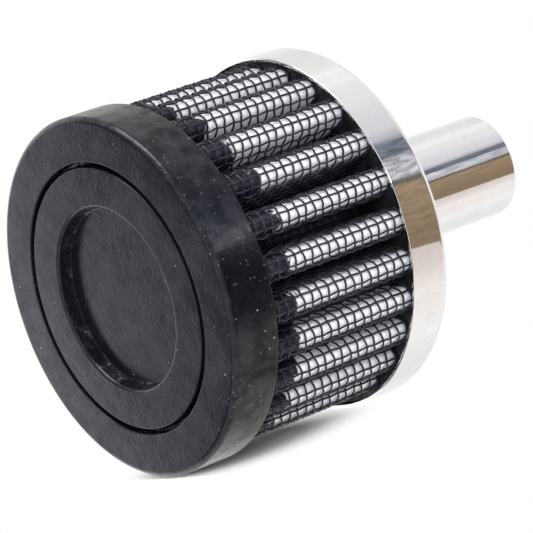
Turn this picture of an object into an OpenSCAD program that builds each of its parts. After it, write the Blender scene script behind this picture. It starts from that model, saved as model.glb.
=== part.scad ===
// Crankcase breather filter with a moulded rubber cap, a pleated gauze element
// between two wire screens, a pressed steel base cup and a plated push-in stem.
// Z runs up the filter's axis. Z = 0 is the open end of the stem.

/* [Body] */
// Height of the body, from the underside of the base cup to the face of the cap
body_h = 38; // [34:0.5:56]
// Diameter over the outer folds of the pleats
media_d = 49.7; // [48:0.1:54]

/* [Pleats] */
// Number of pleats
pleats = 25; // [24:1:26]
// Radial depth of a pleat, from its outer fold to its inner fold
pleat_depth = 11; // [9.5:0.5:11.5]
// Width of a pleat across its outer fold
fold_w = 4.3; // [4:0.1:4.5]
// Clear gap between neighbouring inner folds
fold_gap = 0.3; // [0.2:0.05:0.4]
// Turn of the first pleat from the X axis, in degrees
pleat_turn = 3.7; // [0:0.1:12]
// How far pleats stray from even spacing, in degrees
pleat_stray = 1; // [0:0.1:1.2]
// How many times the straying swings to and fro round the filter
stray_waves = 3; // [1:1:4]
// Where round the filter the straying starts, in degrees
stray_turn = 212; // [0:1:359]
// Thickness of the gauze
gauze_t = 0.45; // [0.4:0.05:0.5]

/* [Screens] */
// Diameter of the wire in the outer screen
wire_d = 0.3; // [0.24:0.02:0.32]
// Spacing of the wires that run up the outer screen
wire_pitch = 1.46; // [1.3:0.02:1.6]
// Wires that run up each side of a fold, beside the one on its crest
side_wires = 1; // [1:1:3]
// Number of wires that run round the outer screen
hoops = 5; // [3:1:8]
// Thickness of the inner screen
inner_screen_t = 0.2; // [0.15:0.05:0.25]

/* [Cap] */
// Height of the cap
cap_h = 7.6; // [6.5:0.1:10]
// Rubber outside the pleats
cap_skin = 0.65; // [0.6:0.05:1.5]
// Radius of the cap's front edge
cap_edge_r = 0.9; // [0.4:0.1:1.4]
// Radius of the cap's back edge
cap_back_r = 0.35; // [0.1:0.05:0.45]
// Diameter of the ring groove in the face, at its middle
groove_d = 37.8; // [34:0.2:42]
// Width of the ring groove
groove_w = 0.8; // [0.6:0.1:1.6]
// Depth of the ring groove
groove_depth = 1.6; // [0.6:0.1:2]
// Diameter of the recess in the face, at its mouth
recess_d = 26; // [20:0.5:30]
// Depth of the recess
recess_depth = 2; // [1:0.1:3]
// How far the wall of the recess leans in from mouth to floor
recess_lean = 0.4; // [0.2:0.1:1.2]
// Depth to which the cap holds the pleats
cap_grip = 3.2; // [2:0.1:4]

/* [Base] */
// Height of the base cup
cup_h = 6.6; // [5.5:0.1:9]
// Thickness of the cup's steel
cup_t = 0.5; // [0.4:0.05:0.8]
// Outer radius of the cup's bottom corner
cup_corner_r = 1.3; // [1:0.1:2]
// Potting between the pleats and the wall of the cup
potting_skin = 0.35; // [0.3:0.05:0.6]
// How far the top of the potting lies below the rim of the cup
potting_drop = 0.4; // [0.2:0.1:1]
// Potting between the ends of the pleats and the floor of the cup
potting_floor = 1.3; // [0.8:0.1:2]
// Radial width of the potting inside the inner folds
potting_foot = 0.8; // [0.5:0.1:1.5]

/* [Stem] */
// Outside diameter of the stem
stem_d = 15; // [12:0.5:18]
// Wall of the stem
stem_wall = 1; // [0.8:0.1:1.6]
// Length of the stem below the base cup
stem_len = 30; // [20:1:45]
// Width of the bead that the stem bears on the cup with
bead_w = 0.9; // [0.6:0.1:1.2]
// Height of the lip that locks the stem inside the cup
lip_h = 0.8; // [0.6:0.1:1.5]
// Chamfer on the stem's open end
stem_chamfer = 0.4; // [0.2:0.1:0.6]

/* [Fits] */
// Clearance round the stem in its hole in the cup
stem_fit = 0.05; // [0.02:0.01:0.1]
// Clearance between the layers of the pleat pack
ply_fit = 0.03; // [0.02:0.01:0.05]
// Clearance outside the wires where the cap and the potting hold the pleats
grip_fit = 0.15; // [0.14:0.01:0.18]

/* [Hidden] */
fine = 96;
corner_parts = 8;
eps = 0.01;

// levels
cup_z = stem_len;
top_z = cup_z + body_h;
cap_z = top_z - cap_h;
floor_z = cup_z + cup_t;
rim_z = cup_z + cup_h;
potting_z = rim_z - potting_drop;
pleat_z = floor_z + potting_floor;
pleat_top_z = cap_z + cap_grip;
pleat_h = pleat_top_z - pleat_z;

// radii
media_r = media_d / 2;
inner_r = media_r - pleat_depth;
potting_r = media_r + potting_skin;
cup_r = potting_r + cup_t;
cap_r = media_r + cap_skin;
foot_r = inner_r - potting_foot;
stem_r = stem_d / 2;
bore_r = stem_r - stem_wall;
hole_r = stem_r + stem_fit;

// Layers of the pleat pack, as depths below its outer face
hoop_out = wire_d + ply_fit;
hoop_in = hoop_out + wire_d;
gauze_out = hoop_in + ply_fit;
gauze_in = gauze_out + gauze_t;
screen_out = gauze_in + ply_fit;
pack_t = screen_out + inner_screen_t;

// centres and radii of the folds
pitch = 360 / pleats;
crest_r = fold_w / 2;
crest_c = media_r - crest_r;
lobe_r = (inner_r * sin(pitch / 2) - fold_gap / 2) / (1 - sin(pitch / 2));
valley_r = lobe_r - pack_t;
valley_c = inner_r + lobe_r;

// A fold has more corners where it turns wide than where it turns tight
function crest_parts(t) = t < gauze_in ? 4 : 2;
function valley_parts(t) = t < gauze_in ? 2 : 4;

function polar(r, a) = r * [cos(a), sin(a)];
// direction of the k-th pleat, strayed a little from even spacing
function crest_a(k) = pleat_turn + pitch * k + pleat_stray * sin(stray_waves * pitch * k + stray_turn);
function half_a(k) = (crest_a(k + 1) - crest_a(k)) / 2;
// direction, off a pleat's own, in which its flank faces the next pleat
function flank_a(h) =
    let (w = polar(valley_c, h) - [crest_c, 0])
    atan2(w[1], w[0]) - acos((crest_r + valley_r) / norm(w));
// corners round the outer fold of pleat k, at depth t in the pack
function crest_points(k, t) =
    let (a = crest_a(k), lo = -flank_a(half_a(k - 1 + pleats)), hi = flank_a(half_a(k)))
    [for (i = [0:crest_parts(t)])
        polar(crest_c, a) + polar(crest_r - t, a + lo + (hi - lo) * i / crest_parts(t))];
// corners round the inner fold after pleat k
function valley_points(k, t) =
    let (h = half_a(k), a = crest_a(k) + h, f = flank_a(h) - h)
    [for (i = [0:valley_parts(t)])
        polar(valley_c, a) + polar(valley_r + t, a + 180 + f * (1 - 2 * i / valley_parts(t)))];
function fold_line(t) = [for (k = [0:pleats - 1]) each concat(crest_points(k, t), valley_points(k, t))];
// point on the fold of pleat k, a distance s along it from the crest, at depth t
function fold_point(k, s, t) =
    let (
        r = crest_r - wire_d / 2,
        side = sign(s),
        f = flank_a(half_a(side < 0 ? k - 1 + pleats : k)),
        a = min(abs(s) / r * 180 / PI, f),
        run = abs(s) - a * PI / 180 * r)
    polar(crest_c, crest_a(k)) + polar(crest_r - t, crest_a(k) + side * a)
        + polar(run, crest_a(k) + side * (a + 90));

// pleated ring between two depths in the pack
module pleated(t0, t1) {
    difference() {
        polygon(fold_line(t0));
        polygon(fold_line(t1));
    }
}

module pleat_pack(z, h) {
    translate([0, 0, z]) linear_extrude(h) pleated(-grip_fit, pack_t + ply_fit);
}

// quarter-round corner for a profile, as points about c from direction a0 to a1
function corner(c, r, a0, a1) =
    [for (i = [0:corner_parts]) c + polar(r, a0 + (a1 - a0) * i / corner_parts)];

module end_cap() {
    groove_r = groove_d / 2;
    recess_r = recess_d / 2;
    color("#3a3c3f") difference() {
        rotate_extrude($fn = fine) polygon(concat(
            [[0, cap_z]],
            corner([cap_r - cap_back_r, cap_z + cap_back_r], cap_back_r, -90, 0),
            corner([cap_r - cap_edge_r, top_z - cap_edge_r], cap_edge_r, 0, 90),
            [[groove_r + groove_w / 2, top_z],
             [groove_r + groove_w / 2, top_z - groove_depth],
             [groove_r - groove_w / 2, top_z - groove_depth],
             [groove_r - groove_w / 2, top_z],
             [recess_r, top_z],
             [recess_r - recess_lean, top_z - recess_depth],
             [0, top_z - recess_depth]]));
        pleat_pack(cap_z - eps, cap_grip + ply_fit + eps);
    }
}

module wire_up(k, s) {
    inner = fold_point(k, s, wire_d);
    outer = fold_point(k, s, 0);
    d = (outer - inner) / norm(outer - inner);
    w = wire_d / 2 * [-d[1], d[0]];
    polygon([inner - w, outer - w, outer + w, inner + w]);
}

module outer_screen() {
    hoop_gap = (cap_z - potting_z) / (hoops + 1);
    color("#15161a") {
        translate([0, 0, pleat_z]) linear_extrude(pleat_h)
            for (k = [0:pleats - 1], i = [-side_wires:side_wires]) wire_up(k, i * wire_pitch);
        for (i = [1:hoops])
            translate([0, 0, potting_z + i * hoop_gap - wire_d / 2])
                linear_extrude(wire_d) pleated(hoop_out, hoop_in);
    }
}

module filter_gauze() {
    color("#e8e8ea") translate([0, 0, pleat_z]) linear_extrude(pleat_h) pleated(gauze_out, gauze_in);
}

module inner_screen() {
    color("#26282c") translate([0, 0, pleat_z]) linear_extrude(pleat_h) pleated(screen_out, pack_t);
}

module base_potting() {
    color("#101114") difference() {
        rotate_extrude($fn = fine) polygon(concat(
            [[foot_r, floor_z], [cup_r - cup_corner_r, floor_z]],
            corner([cup_r - cup_corner_r, cup_z + cup_corner_r], cup_corner_r - cup_t, -90, 0),
            [[potting_r, potting_z], [foot_r, potting_z]]));
        pleat_pack(pleat_z - ply_fit, potting_z - pleat_z + ply_fit + eps);
    }
}

module base_cup() {
    color("#d9dbde") rotate_extrude($fn = fine) polygon(concat(
        [[hole_r, cup_z]],
        corner([cup_r - cup_corner_r, cup_z + cup_corner_r], cup_corner_r, -90, 0),
        [[cup_r, rim_z], [potting_r, rim_z]],
        corner([cup_r - cup_corner_r, cup_z + cup_corner_r], cup_corner_r - cup_t, 0, -90),
        [[hole_r, floor_z]]));
}

module stem() {
    bead_r = stem_r + bead_w;
    lip_r = stem_r + lip_h;
    color("#dcdee1") rotate_extrude($fn = fine) polygon([
        [bore_r + stem_chamfer, 0],
        [stem_r - stem_chamfer, 0],
        [stem_r, stem_chamfer],
        [stem_r, cup_z - 2 * bead_w],
        [bead_r, cup_z - bead_w],
        [bead_r, cup_z],
        [stem_r, cup_z],
        [stem_r, floor_z],
        [lip_r, floor_z],
        [lip_r, floor_z + lip_h],
        [bore_r + lip_h, floor_z + lip_h],
        [bore_r, floor_z],
        [bore_r, stem_chamfer]]);
}

end_cap();
outer_screen();
filter_gauze();
inner_screen();
base_potting();
base_cup();
stem();
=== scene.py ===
import math

import bmesh
import bpy
from mathutils import Matrix, Vector, noise


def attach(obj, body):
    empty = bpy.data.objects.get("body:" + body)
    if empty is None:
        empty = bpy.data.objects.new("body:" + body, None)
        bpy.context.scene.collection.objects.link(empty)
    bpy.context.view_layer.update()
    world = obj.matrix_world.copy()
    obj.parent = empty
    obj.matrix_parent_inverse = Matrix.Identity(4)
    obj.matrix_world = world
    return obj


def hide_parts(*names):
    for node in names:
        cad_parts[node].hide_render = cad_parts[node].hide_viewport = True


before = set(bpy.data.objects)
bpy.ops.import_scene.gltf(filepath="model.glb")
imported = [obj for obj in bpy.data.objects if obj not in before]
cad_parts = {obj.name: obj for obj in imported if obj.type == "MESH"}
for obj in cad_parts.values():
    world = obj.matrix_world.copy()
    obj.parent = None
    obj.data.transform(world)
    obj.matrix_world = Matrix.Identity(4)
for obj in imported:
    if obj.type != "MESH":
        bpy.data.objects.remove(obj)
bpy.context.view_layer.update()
mm = 0.001

# levels and radii of the filter in mm, as its solids have them
filterSize = {
    "cupZ": 30.0,
    "topZ": 68.0,
    "capZ": 60.4,
    "rimZ": 36.6,
    "pottingZ": 36.2,
    "floorZ": 30.5,
    "capR": 25.5,
    "cupR": 25.7,
    "pottingR": 25.2,
    "stemR": 7.5,
}

# camera

cameraView = {
    "capCentre": (-20.5, 4.478, 451.77),  # mm in front of the lens: right, down, away
    "tilt": 54.81,  # the axis off the line of sight
    "turn": 20.38,  # the axis above the picture's horizon
    "lens": 225.25,
}


def makeCamera(s):
    tilt, turn = math.radians(s["tilt"]), math.radians(s["turn"])
    # the filter's axis as the lens sees it, from the cap to the stem
    down = Vector((math.sin(tilt) * math.cos(turn), -math.sin(tilt) * math.sin(turn), math.cos(tilt)))
    side = Vector((math.sin(turn), math.cos(turn), 0))
    up = side.cross(down)
    axes = [-side, -up, -down]  # the filter's X, Y and Z as the lens sees them
    centre = Vector(s["capCentre"])
    spot = Vector((0, 0, filterSize["topZ"])) - Vector([a.dot(centre) for a in axes])
    right, below, ahead = (Vector([a[i] for a in axes]) for i in range(3))
    turned = Matrix((right, -below, -ahead)).transposed()
    data = bpy.data.cameras.new("photoCamera")
    data.lens, data.sensor_width = s["lens"], 36
    data.clip_start, data.clip_end = 0.01, 20
    camera = bpy.data.objects.new("photoCamera", data)
    camera.matrix_world = Matrix.Translation(spot * mm) @ turned.to_4x4()
    bpy.context.scene.collection.objects.link(camera)
    bpy.context.scene.camera = camera
    return right, -ahead


viewRight, viewBack = makeCamera(cameraView)
print("camera placed")

# materials


class Nodes:
    # a short way to add nodes and join them
    def __init__(self, tree):
        self.tree = tree

    def add(self, kind, values=None, **settings):
        node = self.tree.nodes.new(kind)
        for name, value in settings.items():
            setattr(node, name, value)
        for name, value in (values or {}).items():
            self.feed(node.inputs[name], value)
        return node

    def feed(self, socket, value):
        if isinstance(value, bpy.types.NodeSocket):
            self.tree.links.new(value, socket)
        else:
            socket.default_value = value

    def math(self, operation, a, b=0.0, c=0.0):
        node = self.tree.nodes.new("ShaderNodeMath")
        node.operation = operation
        for i, value in enumerate((a, b, c)):
            self.feed(node.inputs[i], value)
        return node.outputs[0]

    def blend(self, amount, a, b):
        node = self.tree.nodes.new("ShaderNodeMix")
        node.data_type = "RGBA"
        self.feed(node.inputs["Factor"], amount)
        self.feed(node.inputs["A"], a)
        self.feed(node.inputs["B"], b)
        return node.outputs["Result"]

    def spread(self, value, lo, hi, toLo=0.0, toHi=1.0):
        node = self.tree.nodes.new("ShaderNodeMapRange")
        node.interpolation_type = "SMOOTHSTEP"
        for i, v in enumerate((value, lo, hi, toLo, toHi)):
            self.feed(node.inputs[i], v)
        return node.outputs[0]

    def band(self, value, start, full, late, end):
        # 1 between two places in mm, and 0 outside them
        rise, fall = self.spread(value, start * mm, full * mm), self.spread(value, late * mm, end * mm, 1.0, 0.0)
        return self.math("MULTIPLY", rise, fall)

    def bump(self, shader, height, strength, high):
        node = self.add("ShaderNodeBump", {"Height": height, "Strength": strength, "Distance": high * mm})
        self.feed(shader.inputs["Normal"], node.outputs[0])


def newGroup(name, inputs, outputs):
    group = bpy.data.node_groups.new(name, "ShaderNodeTree")
    for socket, kind, default in inputs:
        group.interface.new_socket(socket, in_out="INPUT", socket_type=kind).default_value = default
    for socket, kind in outputs:
        group.interface.new_socket(socket, in_out="OUTPUT", socket_type=kind)
    return group, Nodes(group)


def newMaterial(name):
    material = bpy.data.materials.new(name)
    material.use_nodes = True
    nodes = Nodes(material.node_tree)
    shader = material.node_tree.nodes["Principled BSDF"]
    return material, nodes, shader


def grainGroup():
    # even speckle: a mask from 0 to 1, at a size in mm
    group, n = newGroup(
        "grain",
        [("Size", "NodeSocketFloat", 0.5), ("Detail", "NodeSocketFloat", 3.0)],
        [("Mask", "NodeSocketFloat")],
    )
    ends = n.add("NodeGroupInput"), n.add("NodeGroupOutput")
    place = n.add("ShaderNodeTexCoord")
    scale = n.math("DIVIDE", 1000.0, ends[0].outputs["Size"])
    detail = ends[0].outputs["Detail"]
    values = {"Vector": place.outputs["Object"], "Scale": scale, "Detail": detail, "Roughness": 0.6}
    speckle = n.add("ShaderNodeTexNoise", values)
    n.feed(ends[1].inputs["Mask"], n.spread(speckle.outputs["Fac"], 0.3, 0.7))
    return group


grain = grainGroup()


def addGrain(n, size, detail):
    node = n.add("ShaderNodeGroup", node_tree=grain)
    node.inputs["Size"].default_value = size
    node.inputs["Detail"].default_value = detail
    return node.outputs["Mask"]


def addSpots(n, place, cell):
    # scattered cells of a size in mm: the distance from each cell's middle, and a random number for each cell
    spots = n.add("ShaderNodeTexVoronoi", {"Vector": place, "Scale": 1000 / cell, "Randomness": 1.0}).outputs
    return spots["Distance"], n.add("ShaderNodeSeparateColor", {"Color": spots["Color"]}).outputs[0]


rubberLook = {
    "color": (0.0022, 0.0026, 0.004, 1),
    "dull": (0.0045, 0.005, 0.0075, 1),
    "pit": (0.008, 0.008, 0.01, 1),
    "dust": (0.3, 0.31, 0.33, 1),
    "powder": (0.085, 0.095, 0.135, 1),
    "sheen": (0.92, 0.935, 1.0, 1),
    "cloudSize": 9.0,
    "grainSize": 0.5,
    "pitCell": 1.3,
    "powderCell": 0.6,
    "powderPatch": 7.0,
    "lumpSize": 2.2,
    "mottleSize": 2.4,
    "glintSize": 1.3,
    "rough": (0.17, 0.29),
    "sideR": (25.1, 25.4),
    "wallR": (12.35, 12.5, 12.98, 13.08),  # the recess's leaning wall
    "wallZ": (67.5, 67.8),
    "slotR": (18.4, 18.5, 19.3, 19.4),  # the ring groove
    "slotZ": (67.6, 67.9),
}


def rubberMaterial(s):
    material, n, shader = newMaterial("cap_rubber")
    cloudy, fine = addGrain(n, s["cloudSize"], 4.0), addGrain(n, s["grainSize"], 2.0)
    place = n.add("ShaderNodeTexCoord").outputs["Object"]
    axial = n.add("ShaderNodeSeparateXYZ", {0: place}).outputs
    squares = [n.math("MULTIPLY", axial[i], axial[i]) for i in ("X", "Y")]
    reach = n.math("SQRT", n.math("ADD", *squares))
    side = n.spread(reach, *(r * mm for r in s["sideR"]))

    # fine pits, each at the middle of a cell, and white specks in some of them, more on the side than on the face
    off, pick = addSpots(n, place, s["pitCell"])
    pit = n.math("MULTIPLY", n.spread(off, 0.0, 0.22, 1.0, 0.0), n.spread(pick, 0.72, 0.8))
    chosen = n.spread(n.math("MULTIPLY_ADD", side, 0.25, pick), 0.8, 1.0)
    speck = n.math("MULTIPLY", n.spread(off, 0.04, 0.12, 1.0, 0.0), chosen)
    # powdery patches of finer specks
    off, pick = addSpots(n, place, s["powderCell"])
    powdery = n.math("MULTIPLY", n.spread(off, 0.1, 0.3, 1.0, 0.0), n.spread(pick, 0.55, 0.75))
    patch = n.spread(addGrain(n, s["powderPatch"], 3.0), 0.35, 0.75)
    outward = n.spread(reach, 19.3 * mm, 25.4 * mm, 0.12, 0.6)
    powdery = n.math("MULTIPLY", powdery, n.math("MULTIPLY", patch, outward))

    color = n.blend(n.math("MULTIPLY_ADD", cloudy, 0.5, n.math("MULTIPLY", fine, 0.5)), s["color"], s["dull"])
    color = n.blend(n.math("MULTIPLY", pit, 0.6), color, s["pit"])
    color = n.blend(powdery, color, s["powder"])
    n.feed(shader.inputs["Base Color"], n.blend(n.math("MULTIPLY", speck, 0.8), color, s["dust"]))
    n.feed(shader.inputs["Roughness"], n.spread(cloudy, 0.0, 1.0, *s["rough"]))
    lumps = n.math("MULTIPLY_ADD", fine, 0.4, n.math("MULTIPLY", addGrain(n, s["lumpSize"], 4.0), 0.45))
    n.bump(shader, n.math("SUBTRACT", lumps, pit), 0.35, 0.05)

    # painted shade: the groove and the recess's wall mirror less, so they render darker, apart from a few glints
    hollows = []
    for radii, heights in ((s["wallR"], s["wallZ"]), (s["slotR"], s["slotZ"])):
        below = n.spread(axial["Z"], heights[0] * mm, heights[1] * mm, 1.0, 0.0)
        hollows.append(n.math("MULTIPLY", n.band(reach, *radii), below))
    hollow = n.math("MAXIMUM", *hollows)
    glints = n.spread(addGrain(n, s["glintSize"], 4.0), 0.55, 0.95, -0.85, 0.6)
    swing, least = n.spread(side, 0.0, 1.0, 0.2, 0.4), n.spread(side, 0.0, 1.0, 0.3, 0.14)
    mottle = n.math("MULTIPLY_ADD", addGrain(n, s["mottleSize"], 5.0), swing, least)
    level = n.math("MULTIPLY", mottle, n.math("MULTIPLY_ADD", hollow, glints, 1.0))
    n.feed(shader.inputs["Specular IOR Level"], level)
    shader.inputs["Specular Tint"].default_value = s["sheen"]
    return material


wireLook = {
    "color": (0.005, 0.006, 0.011, 1),
    "worn": (0.03, 0.033, 0.046, 1),
    "rough": (0.27, 0.47),
    "grainSize": 0.35,
    "patchSize": 4.0,
}


def wireMaterial(s, name):
    material, n, shader = newMaterial(name)
    fine, patch = addGrain(n, s["grainSize"], 2.0), addGrain(n, s["patchSize"], 3.0)
    n.feed(shader.inputs["Base Color"], n.blend(n.math("MULTIPLY", fine, patch), s["color"], s["worn"]))
    n.feed(shader.inputs["Roughness"], n.spread(patch, 0.0, 1.0, *s["rough"]))
    n.bump(shader, fine, 0.3, 0.02)
    return material


gauzeLook = {
    "thread": (0.75, 0.75, 0.775, 1),
    "shade": (0.56, 0.57, 0.61, 1),
    # painted shade deep in the valleys between the pleats
    "valleyShade": (0.034, 0.041, 0.072, 1),
    "soakAndShade": (0.004, 0.005, 0.009, 1),
    "blotch": (0.026, 0.03, 0.05, 1),
    "threads": (4.3, 4.7),  # to each wire of the screen, round and up
    "fibreSize": 0.5,
    "patchSize": 3.0,
    "blotchSize": 1.5,
    "topSoak": (56.1, 56.8),
    "footSoak": (35.5, 36.0),
    "topWander": 2.4,
    "fibreWander": 0.5,
    "footShadeRise": 2.4,  # how much higher the dark band at the foot stands in the valleys, painted shade near the cup
    "rough": (0.9, 0.45),
}


def gauzeMaterial(s):
    # the UV map counts wires: u round the folds and v up them
    material, n, shader = newMaterial("gauze")
    uv = n.add("ShaderNodeSeparateXYZ", {0: n.add("ShaderNodeUVMap", uv_map="cloth").outputs[0]}).outputs
    place = n.add("ShaderNodeTexCoord").outputs["Object"]
    height = n.add("ShaderNodeSeparateXYZ", {0: place}).outputs["Z"]
    depth = n.add("ShaderNodeAttribute", attribute_name="depth").outputs["Fac"]
    pillows = [n.math("ABSOLUTE", n.math("SINE", n.math("MULTIPLY", uv[i], math.pi))) for i in (0, 1)]
    pillow = n.math("MULTIPLY", *pillows)
    waves = [n.math("SINE", n.math("MULTIPLY", uv[i], 2 * math.pi * s["threads"][i])) for i in (0, 1)]
    thread = n.math("MULTIPLY_ADD", n.math("MULTIPLY", *waves), 0.5, 0.5)
    fibre, patch = addGrain(n, s["fibreSize"], 4.0), addGrain(n, s["patchSize"], 4.0)

    # painted shade: each cell turns greyer towards the wires round it, where they shade it, with some epoxy stain; the
    # fibre noise mixes in the same grey as uneven tone
    cloth = n.blend(n.spread(pillow, 0.0, 0.55), s["shade"], s["thread"])
    cloth = n.blend(n.math("MULTIPLY", fibre, 0.3), cloth, s["shade"])
    # painted shade: the pleats darken to a bluish grey deeper in the valleys between them
    cloth = n.blend(n.spread(depth, 0.16, 0.9), cloth, s["valleyShade"])
    wander = n.math("MULTIPLY_ADD", patch, s["topWander"] * mm, n.math("MULTIPLY", fibre, s["fibreWander"] * mm))
    top = n.spread(n.math("ADD", height, wander), *(z * mm for z in s["topSoak"]))
    # painted shade: the dark band at the foot stands higher in the valleys, near the cup; at the crests it is the real
    # soak of the potting
    rise = n.math("MULTIPLY", n.spread(depth, 0.12, 0.5), s["footShadeRise"] * mm)
    foot = n.spread(n.math("SUBTRACT", height, rise), *(z * mm for z in s["footSoak"]), 1.0, 0.0)
    # the dark colour is the real soak at the cap and the foot, and painted shade where the foot band rises in the
    # valleys
    soakAndShade = n.math("MAXIMUM", top, foot)
    oilAndShade = n.blend(n.math("MULTIPLY", fibre, addGrain(n, s["blotchSize"], 3.0)), s["soakAndShade"], s["blotch"])
    n.feed(shader.inputs["Base Color"], n.blend(soakAndShade, cloth, oilAndShade))
    n.feed(shader.inputs["Roughness"], n.spread(soakAndShade, 0.0, 1.0, *s["rough"]))
    n.bump(shader, n.math("MULTIPLY_ADD", thread, 0.12, pillow), 0.6, 0.25)
    return material


pottingLook = {
    "color": (0.004, 0.004, 0.005, 1),
    "dusty": (0.014, 0.014, 0.016, 1),
    "rough": (0.24, 0.4),
    "mirror": 0.22,
}


def pottingMaterial(s):
    material, n, shader = newMaterial("potting")
    cloudy, fine = addGrain(n, 3.0, 3.0), addGrain(n, 0.6, 2.0)
    n.feed(shader.inputs["Base Color"], n.blend(cloudy, s["color"], s["dusty"]))
    n.feed(shader.inputs["Roughness"], n.spread(fine, 0.0, 1.0, *s["rough"]))
    shader.inputs["Specular IOR Level"].default_value = s["mirror"]
    n.bump(shader, cloudy, 0.3, 0.15)
    return material


chromeLook = {"color": (0.88, 0.877, 0.875, 1), "hazy": (0.8, 0.8, 0.805, 1), "rough": (0.04, 0.09)}


def chromeMaterial(s, name):
    material, n, shader = newMaterial(name)
    cloudy, fine = addGrain(n, 2.2, 5.0), addGrain(n, 0.35, 2.0)
    haze = n.math("MULTIPLY", cloudy, fine)
    n.feed(shader.inputs["Base Color"], n.blend(haze, s["color"], s["hazy"]))
    n.feed(shader.inputs["Roughness"], n.spread(haze, 0.0, 1.0, *s["rough"]))
    shader.inputs["Metallic"].default_value = 1.0
    n.bump(shader, cloudy, 0.03, 0.05)
    return material


looks = {
    "cap_rubber": rubberMaterial(rubberLook),
    "coated_wire": wireMaterial(wireLook, "coated_wire"),
    "gauze": gauzeMaterial(gauzeLook),
    "inner_wire": wireMaterial(wireLook, "inner_wire"),
    "potting": pottingMaterial(pottingLook),
    "cup_chrome": chromeMaterial(chromeLook, "cup_chrome"),
    "stem_chrome": chromeMaterial(chromeLook, "stem_chrome"),
}
print("materials made")

# pieces


def placePiece(name, mesh, slot, *nodes, flatWalls=False):
    piece = bpy.data.objects.new(name, mesh)
    bpy.context.scene.collection.objects.link(piece)
    mesh.materials.clear()
    mesh.materials.append(looks[slot])
    mesh.shade_smooth()
    if flatWalls:
        piece.modifiers.new("flat_walls", "WEIGHTED_NORMAL").weight = 80
    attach(piece, "root")
    if nodes:
        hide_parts(*nodes)
    return piece


def turnedMesh(name, outline, rounds, steps=192):
    # spins an outline of (radius, height) in mm round the axis, then rounds the named rings
    bm = bmesh.new()
    corners = [bm.verts.new((r * mm, 0, z * mm)) for r, z in outline]
    pairs = zip(corners, corners[1:] + corners[:1])
    lines = [bm.edges.new(pair) for pair in pairs if pair[0].co.x > 0 or pair[1].co.x > 0]
    bmesh.ops.spin(
        bm,
        geom=corners + lines,
        cent=(0, 0, 0),
        axis=(0, 0, 1),
        angle=2 * math.pi,
        steps=steps,
        use_merge=True,
        use_duplicate=False,
    )
    bmesh.ops.remove_doubles(bm, verts=bm.verts, dist=0.0005 * mm)
    bmesh.ops.recalc_face_normals(bm, faces=bm.faces)
    near = 1e-6
    for r, z, size, segments in rounds:
        ring = [
            e
            for e in bm.edges
            if all(abs(v.co.xy.length - r * mm) < near and abs(v.co.z - z * mm) < near for v in e.verts)
        ]
        bmesh.ops.bevel(
            bm,
            geom=ring,
            offset=size * mm,
            offset_type="OFFSET",
            segments=segments,
            profile=0.5,
            affect="EDGES",
            clamp_overlap=True,
            material=-1,
        )
    mesh = bpy.data.meshes.new(name)
    bm.to_mesh(mesh)
    bm.free()
    return mesh


capSize = {
    "edge": 0.9,
    "back": 0.35,
    "groove": (18.5, 19.3),
    "grooveDepth": 1.6,
    "grooveEdge": 0.15,
    "grooveFoot": 0.2,
    "recess": 13.0,
    "recessDepth": 2.0,
    "recessEdge": 0.35,
    "recessFoot": 0.3,
    "lean": 0.4,
}


def makeCap(s):
    top, low, wide = filterSize["topZ"], filterSize["capZ"], filterSize["capR"]
    inner, outer = s["groove"]
    bottom, floor = top - s["grooveDepth"], top - s["recessDepth"]
    foot = s["recess"] - s["lean"]
    face = [(outer, top), (outer, bottom), (inner, bottom), (inner, top), (s["recess"], top), (foot, floor), (0, floor)]
    outline = [(0, low), (wide, low), (wide, top), *face]
    rounds = [
        (wide, top, s["edge"], 6),
        (wide, low, s["back"], 4),
        (outer, top, s["grooveEdge"], 3),
        (inner, top, s["grooveEdge"], 3),
        (outer, bottom, s["grooveFoot"], 2),
        (inner, bottom, s["grooveFoot"], 2),
        (s["recess"], top, s["recessEdge"], 4),
        (foot, floor, s["recessFoot"], 3),
    ]
    mesh = turnedMesh("rubber_cap", outline, rounds)
    placePiece("rubber_cap", mesh, "cap_rubber", "end_cap", flatWalls=True)


makeCap(capSize)

cupSize = {"wall": 0.5, "corner": 1.3, "hole": 7.55, "rimEdge": (0.12, 0.1)}


def makeCup(s):
    low, rim, floor, wide = filterSize["cupZ"], filterSize["rimZ"], filterSize["floorZ"], filterSize["cupR"]
    inside = wide - s["wall"]
    outer, inner = s["rimEdge"]
    outline = [(s["hole"], low), (wide, low), (wide, rim), (inside, rim), (inside, floor), (s["hole"], floor)]
    rounds = [
        (wide, low, s["corner"], 8),
        (inside, floor, s["corner"] - s["wall"], 6),
        (wide, rim, outer, 3),
        (inside, rim, inner, 2),
    ]
    mesh = turnedMesh("cup_shell", outline, rounds)
    placePiece("cup_shell", mesh, "cup_chrome", "base_cup", flatWalls=True)


makeCup(cupSize)

stemSize = {"wall": 1.0, "bead": 0.9, "beadEdge": 0.25, "beadFoot": 0.5, "lip": 0.8, "chamfer": 0.4}


def makeStem(s):
    r, bore = filterSize["stemR"], filterSize["stemR"] - s["wall"]
    cup, floor = filterSize["cupZ"], filterSize["floorZ"]
    bead, lip = r + s["bead"], s["lip"]
    tube = [(bore, 0), (r, 0), (r, cup - 2 * s["bead"]), (bead, cup - s["bead"]), (bead, cup), (r, cup), (r, floor)]
    collar = [(r + lip, floor), (r + lip, floor + lip), (bore + lip, floor + lip), (bore, floor)]
    rounds = [
        (r, 0, s["chamfer"], 4),
        (bore, 0, s["chamfer"], 4),
        (bead, cup - s["bead"], s["beadEdge"], 3),
        (r, cup - 2 * s["bead"], s["beadFoot"], 3),
    ]
    mesh = turnedMesh("stem_tube", tube + collar, rounds, 128)
    placePiece("stem_tube", mesh, "stem_chrome", "stem", flatWalls=True)


makeStem(stemSize)

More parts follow.
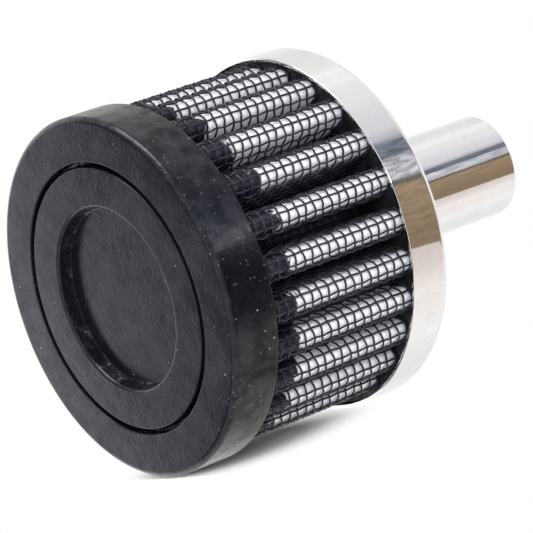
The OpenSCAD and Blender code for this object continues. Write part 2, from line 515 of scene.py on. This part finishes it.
pottingSize = {
    "foot": 13.05,
    "sunk": 0.5,  # lower than the solid's top, so that the cells of the screen reach the rim
    "round": 0.12,
    "corner": 0.8,
}


def makePotting(s):
    floor, top, wide = filterSize["floorZ"], filterSize["pottingZ"] - s["sunk"], filterSize["pottingR"]
    outline = [(s["foot"], floor), (wide, floor), (wide, top), (s["foot"], top)]
    rounds = [(wide, floor, s["corner"], 4), (wide, top, s["round"], 5)]
    mesh = turnedMesh("potting_ring", outline, rounds)
    placePiece("potting_ring", mesh, "potting", "base_potting", flatWalls=True)


makePotting(pottingSize)
print("turned pieces made")

# the pleats, drawn as the solids have them: mm and degrees
foldSize = {
    "pleats": 25,
    "outR": 24.85,
    "inR": 13.85,
    "foldW": 4.3,
    "gap": 0.3,
    "turn": 3.7,
    "stray": 1.0,
    "waves": 3,
    "waveTurn": 212.0,
    "packT": 1.34,
}
clothSize = {
    "wires": 384,
    "wireD": 0.3,
    "innerD": 0.2,
    "pitch": 1.46,
    "lowZ": 35.9,
    "highZ": 61.2,
    "mid": 0.3,
    "innerMid": 1.24,
    "lean": 0.06,
    "wave": 0.07,
}


def polar(r, degrees):
    return Vector((r * math.cos(math.radians(degrees)), r * math.sin(math.radians(degrees))))


def foldPath(s, k, depth):
    # fine points and outward normals from the crest of pleat k to the next crest, at a depth in the pack
    pitch = 360 / s["pleats"]
    crestR = s["foldW"] / 2
    crestC = s["outR"] - crestR
    half = math.sin(math.radians(pitch / 2))
    lobeR = (s["inR"] * half - s["gap"] / 2) / (1 - half)
    valleyR, valleyC = lobeR - s["packT"], s["inR"] + lobeR

    def crestA(i):
        return s["turn"] + pitch * i + s["stray"] * math.sin(math.radians(s["waves"] * pitch * i + s["waveTurn"]))

    a, b = crestA(k), crestA(k + 1)
    h = (b - a) / 2
    w = polar(valleyC, h) - Vector((crestC, 0))
    flank = math.degrees(math.atan2(w[1], w[0]) - math.acos((crestR + valleyR) / w.length))
    r, v, fine = crestR - depth, valleyR + depth, 16
    path = []
    for i in range(fine + 1):
        t = a + flank * i / fine
        path.append((polar(crestC, a) + polar(r, t), polar(1, t)))
    for i in range(2 * fine + 1):
        t = a + h + 180 + (flank - h) * (1 - i / fine)
        path.append((polar(valleyC, a + h) + polar(v, t), -polar(1, t)))
    for i in range(fine + 1):
        t = b - flank * (1 - i / fine)
        path.append((polar(crestC, b) + polar(r, t), polar(1, t)))
    return path


def foldRing(s, depth, count):
    # count points and normals evenly spaced round all the folds, and the length of the whole line
    path = [spot for k in range(s["pleats"]) for spot in foldPath(s, k, depth)[:-1]]
    path.append(path[0])
    run = [0.0]
    for (p, _), (q, _) in zip(path, path[1:]):
        run.append(run[-1] + (q - p).length)
    ring, at = [], 0
    for i in range(count):
        want = run[-1] * i / count
        while run[at + 1] < want:
            at += 1
        t = (want - run[at]) / max(run[at + 1] - run[at], 1e-9)
        (p, n), (q, m) = path[at], path[at + 1]
        ring.append((p.lerp(q, t), n.lerp(m, t).normalized()))
    return ring, run[-1]


foldLine, foldLength = foldRing(foldSize, clothSize["mid"], 2 * clothSize["wires"])


def sunkRing(depth):
    # the same points at another depth in the pack, each straight below its own
    return [(p - n * (depth - clothSize["mid"]), n) for p, n in foldLine]


def wireRuns(name, runs, thickness, closed, sides):
    # round wires along runs of points, as one mesh
    curve = bpy.data.curves.new(name, "CURVE")
    curve.dimensions, curve.bevel_depth, curve.bevel_resolution = "3D", thickness / 2 * mm, sides // 2 - 2
    curve.use_fill_caps = not closed
    for run in runs:
        line = curve.splines.new("POLY")
        line.points.add(len(run) - 1)
        line.points.foreach_set("co", [c for p in run for c in (p[0] * mm, p[1] * mm, p[2] * mm, 1)])
        line.use_cyclic_u = closed
    drawn = bpy.data.objects.new(name, curve)
    bpy.context.scene.collection.objects.link(drawn)
    mesh = bpy.data.meshes.new_from_object(drawn.evaluated_get(bpy.context.evaluated_depsgraph_get()))
    mesh.name = name
    bpy.data.objects.remove(drawn)
    bpy.data.curves.remove(curve)
    return mesh


def wireCloth(s, mid, step):
    # plain weave: each wire goes over one crossing and under the next
    swing = s["wireD"] / 2
    ring = sunkRing(mid)
    rows = int((s["highZ"] - s["lowZ"]) / s["pitch"]) + 1
    up, hoops = [], []
    for j in range(0, len(ring), 2):
        run = []
        for i in range(0, rows * 2 - 1, step):
            z = s["lowZ"] + i / 2 * s["pitch"]
            lean = s["lean"] * noise.noise((ring[j][0].x * 0.4, ring[j][0].y * 0.4, z * 0.25))
            p, n = ring[j]
            over = 0 if i % 2 else (1 if (i // 2 + j // 2) % 2 else -1)
            side = Vector((-n.y, n.x))
            q = p + n * swing * over + side * lean
            run.append((q.x, q.y, z))
        up.append(run)
    for i in range(rows):
        z = s["lowZ"] + i * s["pitch"]
        run = []
        for j in range(0, len(ring), step):
            p, n = ring[j]
            over = 0 if j % 2 else (-1 if (i + j // 2) % 2 else 1)
            q = p + n * swing * over
            run.append((q.x, q.y, z + s["wave"] * noise.noise((p.x * 0.3, p.y * 0.3, i * 3.7))))
        hoops.append(run)
    return up, hoops


# each screen's depth, wire, sides of a wire and steps of a run
screens = {
    "screen": ("coated_wire", "outer_screen", clothSize["mid"], clothSize["wireD"], 6, 1),
    "inner": ("inner_wire", "inner_screen", clothSize["innerMid"], clothSize["innerD"], 4, 2),
}
for screenName, (slot, node, mid, thick, sides, step) in screens.items():
    up, hoops = wireCloth(clothSize, mid, step)
    for wireName, runs, closed in (("up", up, False), ("round", hoops, True)):
        name = screenName + "_wires_" + wireName
        placePiece(name, wireRuns(name, runs, thick, closed, sides), slot, node)
print("screens made")

gauzeSize = {"depth": 0.72, "puff": 0.1, "pinch": 0.4, "thick": 0.32, "lowZ": 31.8, "highZ": 61.9}


def makeGauze(s):
    # one ring of edges is drawn along the folds and pulled up row by row, then puffed between the wires
    cloth = clothSize
    ring = sunkRing(s["depth"])
    wide = len(ring)
    bm = bmesh.new()
    column = bm.verts.layers.int.new("column")
    depthOf = bm.verts.layers.float.new("depth")
    first = int((s["lowZ"] - cloth["lowZ"]) / cloth["pitch"] * 2) - 1
    last = int((s["highZ"] - cloth["lowZ"]) / cloth["pitch"] * 2)
    corners = []
    for c, (p, n) in enumerate(ring):
        v = bm.verts.new((p.x * mm, p.y * mm, (cloth["lowZ"] + first * cloth["pitch"] / 2) * mm))
        v[column] = c
        v[depthOf] = (foldSize["outR"] - s["depth"] - p.length) / (foldSize["outR"] - foldSize["inR"])
        corners.append(v)
    edges = [bm.edges.new((a, b)) for a, b in zip(corners, corners[1:] + corners[:1])]
    rows = [corners]
    for _ in range(last - first):
        made = bmesh.ops.extrude_edge_only(bm, edges=edges)["geom"]
        edges = [g for g in made if isinstance(g, bmesh.types.BMEdge)]
        corners = [g for g in made if isinstance(g, bmesh.types.BMVert)]
        bmesh.ops.translate(bm, verts=corners, vec=(0, 0, cloth["pitch"] / 2 * mm))
        rows.append(corners)
    rowOf = {}
    for r, corners in enumerate(rows):
        for v in corners:
            rowOf[v] = r
            n = ring[v[column]][1]
            between = ((r + first) % 2) * (v[column] % 2)
            crossing = (1 - (r + first) % 2) * (1 - v[column] % 2)
            lift = s["puff"] * (between - s["pinch"] * crossing)
            v.co.x += n.x * lift * mm
            v.co.y += n.y * lift * mm
    bmesh.ops.recalc_face_normals(bm, faces=bm.faces)
    uv = bm.loops.layers.uv.new("cloth")
    for face in bm.faces:
        columns = [loop.vert[column] for loop in face.loops]
        wraps = max(columns) - min(columns) > wide / 2
        for loop, c in zip(face.loops, columns):
            c += wide if wraps and c < wide / 2 else 0
            loop[uv].uv = (c / 2, (rowOf[loop.vert] + first) / 2)
    mesh = bpy.data.meshes.new("gauze_pleats")
    bm.to_mesh(mesh)
    bm.free()
    piece = placePiece("gauze_pleats", mesh, "gauze", "filter_gauze")
    shell = piece.modifiers.new("thickness", "SOLIDIFY")
    shell.thickness, shell.offset = s["thick"] * mm, -1


makeGauze(gauzeSize)
print("gauze made")

# stage

stageLook = {
    "middleZ": 53.0,  # where the lamps aim, in mm
    "groundTurn": -7.0,  # which side of the filter the ground is under
    "groundWide": 0.9,
    "groundGap": 0.02,
    "groundColor": (0.93, 0.93, 0.94, 1),
    "fill": 0.9,
    "bounce": 1.7,  # what the white table sends up under the filter
    "shadowShift": 2.0,  # mm towards the cap
    "shadowReach": (1 / 0.014, 1 / 0.018),  # how fast the ground turns plain white, across the filter and along it
    "shadowEdge": (0.5, 1.22),
}
# each lamp's metres off the filter, away from the ground, towards the camera and to its right, then its size and power
lamps = {
    "keyLamp": ((0.5, 0.1, -0.15), (0.35, 0.35), 2.4),
    "frontLamp": ((0.02, 0.4, -0.05), (0.35, 0.14), 2.3),
}
paints = {
    "tan": (0.3, 0.213, 0.138),
    "tanPale": (0.39, 0.28, 0.185),
    "edge": (0.17, 0.16, 0.14),
    "gray": (0.62, 0.62, 0.68),
    "slate": (0.19, 0.21, 0.255),
    "slateEnd": (0.5, 0.5, 0.55),
    "dark": (0.03, 0.03, 0.035),
    "lamp": (5, 5, 5.2),
    "lilac": (0.62, 0.65, 0.85),
    "lilacGray": (0.56, 0.56, 0.61),
    "paleGray": (0.76, 0.76, 0.8),
    "pale": (0.91, 0.89, 0.9),
    "white": (1.08, 1.08, 1.06),
    "warmWhite": (1.04, 1.01, 1.0),
    "cream": (1.0, 0.94, 0.91),
    "tanBlur": (0.72, 0.63, 0.58),
    "coolWhite": (1.05, 1.05, 1.05),
    "mist": (0.9, 0.9, 0.88),
    "mistPale": (0.97, 0.97, 0.96),
    "haze": (0.86, 0.86, 0.84),
    "window": (1.7, 1.7, 1.78),
    "flag": (0.2, 0.2, 0.24),
}
# what the chrome and the rubber mirror, as upright strips: each has its y, its top and bottom heights in mm,
# and columns of (x at the top, x at the bottom, paint, speckle)
mirrored = {
    "tableStrip": (-110, -20, -160, [
        (-58, -114, "tan", 0.1), (-40, -90, "tan", 0.4), (9, -10, "tanPale", 0.5), (12, -7, "edge", 0.6),
        (16, -3, "edge", 0.6), (19, 4, "gray", 1.2), (38, 38, "gray", 1.2), (45, 45, "slate", 1.2),
        (62, 62, "slate", 0.8), (71, 71, "slateEnd", 0.2),
    ]),
    "roomStrip": (-110, 75, -20, [
        (-110, -78, "dark", 0.0), (14, 12, "dark", 0.0), (15, 14, "lamp", 0.0), (26, 24, "lamp", 0.0),
        (31, 29, "lilac", 0.0), (71, 71, "lilac", 0.0),
    ]),
    "sideStrip": (-110, 75, -2000, [
        (71, 71, "lilacGray", 0.1), (92, 92, "paleGray", 0.05), (230, 230, "pale", 0.0), (2500, 2500, "white", 0.0),
    ]),
    "warmStrip": (-111, -20, -1500, [
        (-2000, -2000, "warmWhite", 0.0), (-190, -190, "cream", 0.0), (-60, -60, "tanBlur", 0.1),
    ]),
    "farStrip": (300, -60, -2400, [
        (-2500, -2500, "coolWhite", 0.0), (-280, -280, "mist", 0.0), (60, 60, "mistPale", 0.0),
        (350, 350, "haze", 0.1), (2500, 2500, "white", 0.0),
    ]),
    "windowStrip": (150, 150, 40, [(-160, -160, "window", 0.3), (160, 160, "window", 0.3)]),
    "flagStrip": (150, 420, 168, [(-220, -220, "flag", 0.0), (220, 220, "flag", 0.0)]),
}


def makeLamp(name, spot, target, size, power):
    data = bpy.data.lights.new(name, "AREA")
    data.shape, data.size, data.size_y = "RECTANGLE", size[0], size[1]
    data.energy = power
    lamp = bpy.data.objects.new(name, data)
    bpy.context.scene.collection.objects.link(lamp)
    lamp.matrix_world = Matrix.Translation(spot) @ (target - spot).to_track_quat("-Z", "Y").to_matrix().to_4x4()
    return lamp


def makeWorld(s):
    world = bpy.data.worlds.new("whiteRoom")
    bpy.context.scene.world = world
    world.use_nodes = True
    n = Nodes(world.node_tree)
    path = n.add("ShaderNodeLightPath").outputs
    seen = n.math("MAXIMUM", path["Is Glossy Ray"], path["Is Transmission Ray"])
    seen = n.math("MAXIMUM", path["Is Camera Ray"], seen)
    back = world.node_tree.nodes["Background"].inputs
    n.feed(back["Strength"], n.spread(seen, 0.0, 1.0, s["fill"], 1.0))
    back["Color"].default_value = (1, 1, 1, 1)


def groundMaterial(s, shaded):
    # paper that keeps the filter's shadow and turns plain white round it
    material, n, shader = newMaterial("ground_paper")
    place = n.add("ShaderNodeTexCoord").outputs["Object"]
    off = n.add("ShaderNodeVectorMath", {0: place, 1: shaded}, operation="SUBTRACT").outputs[0]
    reach = n.add("ShaderNodeVectorMath", {0: off, 1: (1, *s["shadowReach"])}, operation="MULTIPLY").outputs[0]
    away = n.add("ShaderNodeVectorMath", {0: reach}, operation="LENGTH").outputs["Value"]
    shader.inputs["Base Color"].default_value = s["groundColor"]
    shader.inputs["Roughness"].default_value = 0.9
    shader.inputs["Specular IOR Level"].default_value = 0.0
    glow = n.add("ShaderNodeEmission", {"Color": (1, 1, 1, 1)})
    clear = n.add("ShaderNodeBsdfTransparent")
    path = n.add("ShaderNodeLightPath").outputs
    seen = n.math("MAXIMUM", path["Is Camera Ray"], path["Is Glossy Ray"])
    n.feed(glow.inputs["Strength"], n.spread(seen, 0.0, 1.0, s["bounce"], 1.0))
    fade = n.math("MULTIPLY", n.spread(away, *s["shadowEdge"]), n.spread(seen, 0.0, 1.0, 0.8, 1.0))
    lit = n.add("ShaderNodeMixShader", {0: fade, 1: shader.outputs[0], 2: glow.outputs[0]})
    behind = n.add("ShaderNodeNewGeometry").outputs["Backfacing"]
    both = n.add("ShaderNodeMixShader", {0: behind, 1: lit.outputs[0], 2: clear.outputs[0]})
    n.feed(material.node_tree.nodes["Material Output"].inputs["Surface"], both.outputs[0])
    return material


def makeStage(s):
    makeWorld(s)
    middle = Vector((0, 0, s["middleZ"] * mm))
    above = polar(1, s["groundTurn"]).to_3d()  # away from the ground
    bm = bmesh.new()
    bmesh.ops.create_circle(bm, cap_ends=True, segments=96, radius=s["groundWide"])
    facing = above.to_track_quat("Z", "Y").to_matrix().to_4x4()
    touch = middle - above * (filterSize["cupR"] + s["groundGap"]) * mm
    bmesh.ops.transform(bm, matrix=Matrix.Translation(touch) @ facing, verts=bm.verts)
    mesh = bpy.data.meshes.new("ground")
    bm.to_mesh(mesh)
    bm.free()
    ground = bpy.data.objects.new("ground", mesh)
    bpy.context.scene.collection.objects.link(ground)
    mesh.materials.append(groundMaterial(s, touch + Vector((0, 0, s["shadowShift"] * mm))))
    ground.visible_glossy = False
    for name, ((up, back, right), size, power) in lamps.items():
        spot = middle + above * up + viewBack * back + viewRight * right
        makeLamp(name, spot, middle, size, power).visible_glossy = name == "keyLamp"


def makeStrip(name, y, top, bottom, columns):
    bm = bmesh.new()
    paint = bm.verts.layers.float_color.new("paint")
    posts = []
    for xTop, xBottom, color, speckle in columns:
        post = [bm.verts.new((xTop * mm, y * mm, top * mm)), bm.verts.new((xBottom * mm, y * mm, bottom * mm))]
        for v in post:
            v[paint] = (*paints[color], speckle)
        posts.append(post)
    for (a, b), (c, d) in zip(posts, posts[1:]):
        bm.faces.new((a, b, d, c))
    mesh = bpy.data.meshes.new(name)
    bm.to_mesh(mesh)
    bm.free()
    strip = bpy.data.objects.new(name, mesh)
    bpy.context.scene.collection.objects.link(strip)
    material = bpy.data.materials.new(name)
    material.use_nodes = True
    n = Nodes(material.node_tree)
    seen = n.add("ShaderNodeAttribute", attribute_name="paint").outputs
    patchy = n.math("MULTIPLY", n.math("SUBTRACT", addGrain(n, 3.0, 4.0), 0.55), seen["Alpha"])
    glow = n.add("ShaderNodeEmission", {"Color": seen["Color"], "Strength": n.math("ADD", 1.0, patchy)})
    n.feed(material.node_tree.nodes["Material Output"].inputs["Surface"], glow.outputs[0])
    mesh.materials.append(material)
    strip.visible_camera = strip.visible_diffuse = strip.visible_shadow = False


makeStage(stageLook)
for stripName, (y, top, bottom, columns) in mirrored.items():
    makeStrip(stripName, y, top, bottom, columns)
bpy.context.scene.view_settings.view_transform = "Standard"
print("stage made")
